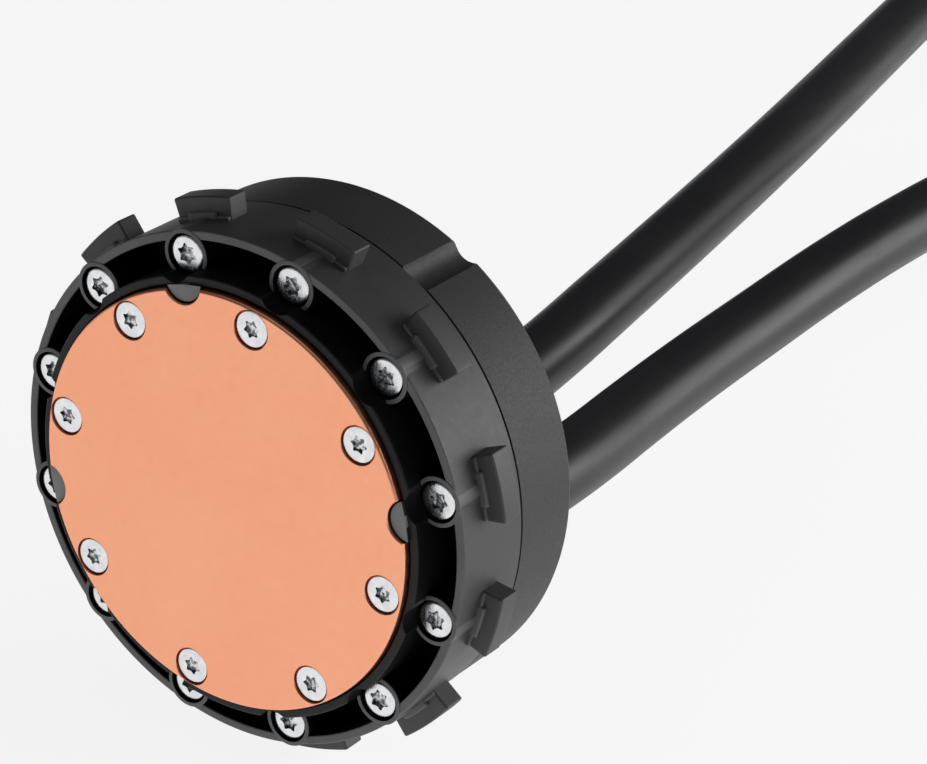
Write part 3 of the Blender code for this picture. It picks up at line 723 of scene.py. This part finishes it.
# the pockets' walls and floors and the walls of the screw heads' seats take the painted shade
also_finished(base, pocket_painted_shade,
              lambda c: LAND_RADIUS - 0.1 < math.hypot(c.x, c.z) < RIM_INSIDE + 0.1
              and 4.3 < c.y < POCKET_DEPTH + 0.1
              or 1.1 < c.y < 7.0 and any(math.dist((c.x, c.z), spot) < HEAD_SEAT_RADIUS + 0.05
                                         for spot in screw_spots))

# ---------------------------------------------------------------------------------------
# Flange screws: twelve bright pan-head screws with a wide six-lobe recess. They pass
# through the bosses into the cover and clamp the pump together.
# ---------------------------------------------------------------------------------------
pan_screw = turned("pan_screw", [
    (0, 4.15), (1.6, 4.15), (2.2, 4.17), (2.5, 4.22), (2.64, 4.33), (2.7, 4.52), (2.7, 6.1),
    (1.5, 6.1), (1.5, 21.5), (1.1, 21.8), (0, 21.8)], 72)
combine(pan_screw, "DIFFERENCE", six_lobe_punch(1.7, 3.5, 4.75))
for number, (spot, a) in enumerate(zip(screw_spots, screw_angles), 1):
    screw = placed(pan_screw, "pan_screw_%d" % number, spot, 23.0 * number)
    finished(screw, screw_steel, ["flange_screw_%d" % number])
    # the faces inside the recess take the painted shade
    also_finished(screw, recess_painted_shade,
                  lambda c: math.hypot(c.x - spot[0], c.z - spot[1]) < 1.8 and 4.21 < c.y < 5.05)
bpy.data.objects.remove(pan_screw)

# ---------------------------------------------------------------------------------------
# Cover: a black cap with a fine moulded grain, closed at the back. For most of the way
# round it is level with the base, and from a dented step at the upper right it lies lower.
# ---------------------------------------------------------------------------------------
COVER_RADIUS = 36.9
PROUD_RADIUS = 37.25
PROUD_FROM = 60.5
PROUD_TO = -42.0
COVER_FRONT = 17.8
COVER_BACK = 30.0

cover_plastic, nodes, links, shader, place = new_material("cover_plastic")
cloud = noise(nodes, links, place, 70.0, 5.0, 0.6)
grain = noise(nodes, links, place, 2600.0, 4.0, 0.7)
links.new(between(nodes, links, cloud, (0.032, 0.032, 0.033), (0.044, 0.044, 0.045)),
          shader.inputs["Base Color"])
links.new(in_range(nodes, links, grain, 0.50, 0.66), shader.inputs["Roughness"])
bumped(nodes, links, shader, [(grain, 0.00005)])

cover = turned("back_cover", [
    (35.3, COVER_FRONT), (COVER_RADIUS, COVER_FRONT), (COVER_RADIUS, 29.1), (36.7, 29.6),
    (36.3, 29.9), (35.9, COVER_BACK), (33.8, COVER_BACK), (33.5, 29.6), (32.7, 29.6),
    (32.4, COVER_BACK), (0, COVER_BACK), (0, 28.4), (35.3, 28.4), (35.3, COVER_FRONT)], 240)
bpy.ops.object.mode_set(mode="OBJECT")
for vert in cover.data.vertices:
    a = math.degrees(math.atan2(vert.co.z, vert.co.x))
    outer = math.hypot(vert.co.x, vert.co.z) > 35.8 * MM
    vert.select = outer and (a > PROUD_FROM or a < PROUD_TO)
bpy.ops.object.mode_set(mode="EDIT")
grow = PROUD_RADIUS / COVER_RADIUS
bpy.ops.transform.resize(value=(grow, 1.0, grow), center_override=(0.0, 0.0, 0.0))
bpy.ops.object.mode_set(mode="OBJECT")
low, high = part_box("cable_inlet")
inlet_angle = math.degrees(math.atan2(low.z + high.z, low.x + high.x))
inlet_depth = (low.y + high.y) / 2 / MM


def pointing_out(piece, angle, depth):
    """Turns a piece made on the +Y line to point out of the head's side, at that depth."""
    out = Vector((math.cos(math.radians(angle)), 0.0, math.sin(math.radians(angle))))
    piece.data.transform(Matrix.Translation((0.0, depth * MM, 0.0))
                         @ Vector((0, 1, 0)).rotation_difference(out).to_matrix().to_4x4())
    return piece


hole = turned("hole", [(0, 33), (2.6, 33), (2.6, 40), (0, 40)], 40)
bpy.ops.object.mode_set(mode="OBJECT")
combine(cover, "DIFFERENCE", pointing_out(hole, inlet_angle, inlet_depth))
posts = []
for spot in screw_spots:
    posts.append(turned("post", [(0, 18.1), (2.45, 18.1), (2.45, 22.7), (0, 22.7)], 30, spot))
combine(cover, "UNION", joined(posts))
collars = []
for spot in ports.values():
    collar = turned("collar", [(0, 28.9), (6.9, 28.9), (6.9, 30.8), (0, 30.8)], 80, spot)
    round_edges(0.3, 3)
    collars.append(collar)
combine(cover, "UNION", joined(collars))
holes = [turned("hole", [(0, 17), (1.75, 17), (1.75, 22.1), (0, 22.1)], 26, spot)
         for spot in screw_spots]
for spot in ports.values():
    holes.append(turned("hole", [(0, 27), (5.75, 27), (5.75, 30.5), (6.05, 30.8), (6.05, 32),
                                 (0, 32)], 84, spot))
combine(cover, "DIFFERENCE", joined(holes))
combine(cover, "DIFFERENCE", turned("dent", [(0, 17), (2.7, 17), (2.7, 32), (0, 32)], 96,
                                    polar(38.5, 59.5)))
finished(cover, cover_plastic, ["cover"], smooth=32.0)

# ---------------------------------------------------------------------------------------
# Cable inlet: a soft black grommet snapped into the cover's side, with the hole that the
# power lead goes through.
# ---------------------------------------------------------------------------------------
grommet = turned("cable_grommet", [
    (1.2, 33.6), (3.2, 33.6), (3.4, 33.8), (3.4, 34.6), (3.2, 34.8), (2.3, 34.8), (2.3, 37.3),
    (3.1, 37.3), (3.25, 37.5), (3.0, 38.6), (2.8, 38.85), (1.5, 38.85), (1.2, 38.5), (1.2, 33.6)],
    64)
bpy.ops.object.mode_set(mode="OBJECT")
finished(pointing_out(grommet, inlet_angle, inlet_depth), seal_rubber,
         ["cable_inlet"])

# ---------------------------------------------------------------------------------------
# Inside: the pump's inner pieces keep their CAD shapes. Moulded and ceramic pump parts,
# steel laminations, copper windings, the magnet, the board, gaskets, and the brass barbs in the
# fittings' pale metal.
# ---------------------------------------------------------------------------------------
def two_tone(name, dark, light, rough_low, rough_high, scale, metallic=0.0, depth=0.00001):
    """A finish that wavers between two colours and two degrees of roughness."""
    mat, nodes, links, shader, place = new_material(name, metallic)
    cloud = noise(nodes, links, place, scale, 4.0)
    links.new(between(nodes, links, cloud, dark, light), shader.inputs["Base Color"])
    links.new(in_range(nodes, links, cloud, rough_low, rough_high), shader.inputs["Roughness"])
    bumped(nodes, links, shader, [(noise(nodes, links, place, scale * 8, 2.0), depth)])
    return mat


inner_plastic = two_tone("inner_plastic", (0.08, 0.08, 0.085), (0.12, 0.12, 0.125), 0.42, 0.56, 300)
ceramic = two_tone("ceramic", (0.82, 0.81, 0.77), (0.92, 0.91, 0.88), 0.22, 0.34, 400)
magnet = two_tone("magnet", (0.07, 0.07, 0.075), (0.12, 0.12, 0.125), 0.5, 0.62, 600)
laminations = two_tone("laminations", (0.30, 0.31, 0.33), (0.42, 0.43, 0.45), 0.38, 0.52, 900, 1.0)
winding = two_tone("winding", (0.60, 0.26, 0.11), (0.78, 0.38, 0.18), 0.28, 0.42, 1500, 1.0,
                   0.00004)
board = two_tone("circuit_board", (0.02, 0.11, 0.045), (0.04, 0.17, 0.07), 0.40, 0.55, 250)
INSIDE = {
    "pump_lid": inner_plastic, "impeller": inner_plastic, "rotor_magnet": magnet,
    "rotor_bush": ceramic, "shaft": ceramic, "thrust_washer": ceramic,
    "stator_core": laminations, "coil_1": winding, "coil_2": winding, "coil_3": winding,
    "coil_4": winding, "circuit_board": board, "lid_gasket": seal_rubber,
    "plate_seal": seal_rubber, "lid_screw_1": screw_steel, "lid_screw_2": screw_steel,
    "lid_screw_3": screw_steel, "lid_screw_4": screw_steel, "hose_barb_lower": fitting_metal,
    "hose_barb_upper": fitting_metal, "hose_ferrule_lower": fitting_metal,
    "hose_ferrule_upper": fitting_metal,
}
for node, finish in INSIDE.items():
    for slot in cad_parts[node].material_slots:
        slot.material = finish

low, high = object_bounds()
